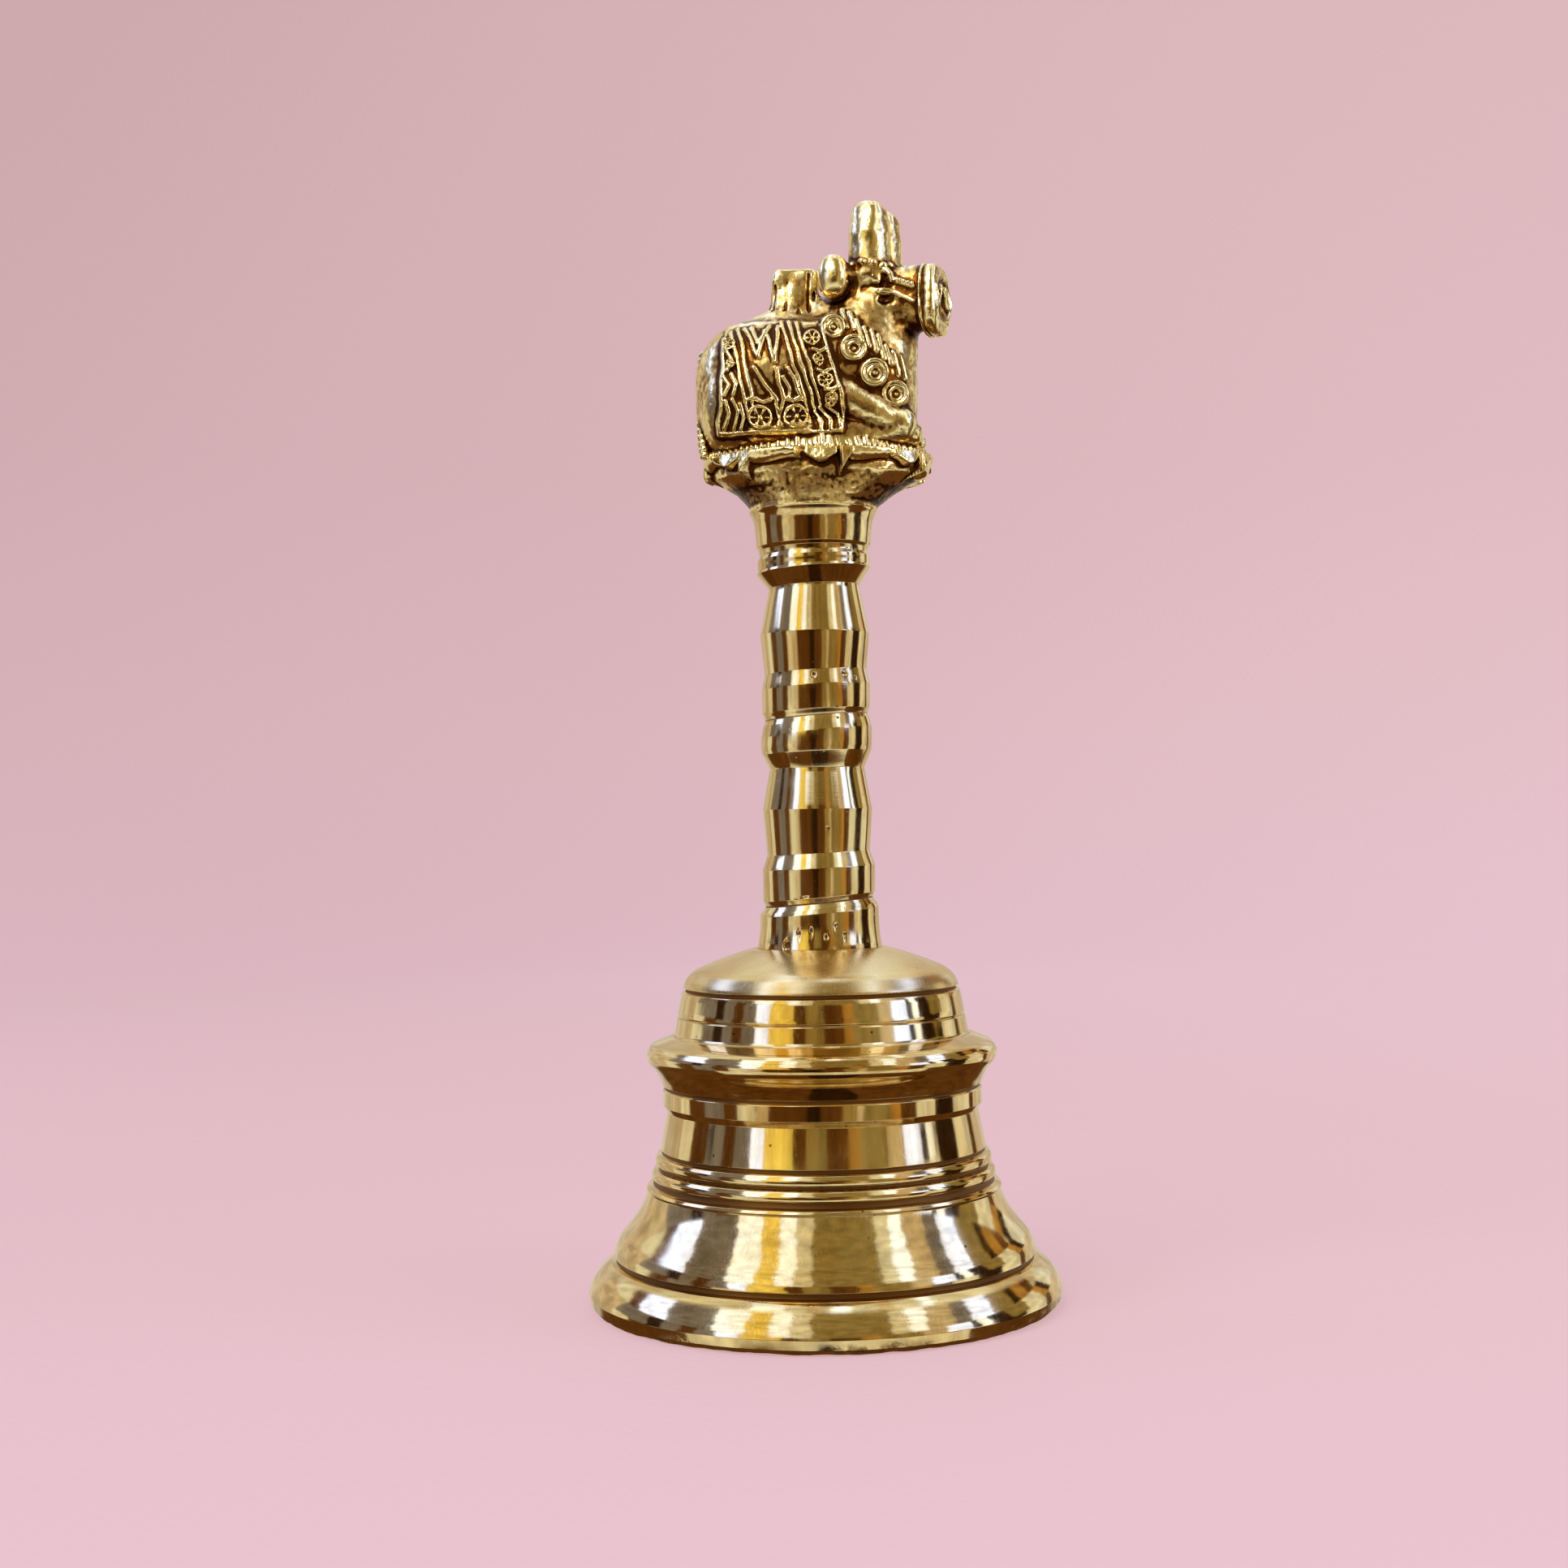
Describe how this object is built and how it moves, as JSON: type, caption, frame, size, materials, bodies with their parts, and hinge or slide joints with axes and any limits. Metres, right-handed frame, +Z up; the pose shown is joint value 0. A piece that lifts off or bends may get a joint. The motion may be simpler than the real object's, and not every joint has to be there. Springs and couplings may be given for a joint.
{
  "type": "puja hand bell",
  "caption": "Upright brass hand bell with a ringed turned grip, a reclining bull finial and a free-swinging ball clapper on a link inside the cup.",
  "frame": {"origin": "centre of the mouth's rim, on the plane that the bell stands on", "axes": "+Z up along the bell's axis towards the finial, +X the way the bull's body faces, +Y to the bull's left"},
  "size_m": [0.0764, 0.0764, 0.1777],
  "materials": {
    "polished_brass": "turned and buffed, fine lathe lines, as-cast rim",
    "handle_brass": "turned, filed and buffed, casting pits near the foot",
    "antique_brass": "as cast, brown in the recesses and rubbed bright on the raised work",
    "zinc_steel": "dull zinc plate",
    "wire_brass": "drawn, dulled by handling",
    "ball_brass": "turned, with dents round its equator"
  },
  "bodies": {
    "bell": {"bell_cup": "polished_brass", "handle_grip": "handle_brass", "nandi_finial": "antique_brass", "finial_stud": "zinc_steel", "clapper_eyebolt": "zinc_steel", "crown_washer": "zinc_steel", "crown_nut": "zinc_steel"},
    "link": {"clapper_link": "wire_brass"},
    "clapper": {"clapper_rod": "wire_brass", "clapper_ball": "ball_brass"}
  },
  "joints": [
    {"name": "clapper_swing", "type": "hinge", "parent": "bell", "child": "link", "pos_m": [0, 0, 0.0398], "axis": [1, 0, 0], "range_deg": [-37, 37]},
    {"name": "clapper_sway", "type": "hinge", "parent": "link", "child": "clapper", "pos_m": [0, 0, 0.02985], "axis": [0, 1, 0], "range_deg": [-18, 18]}
  ]
}
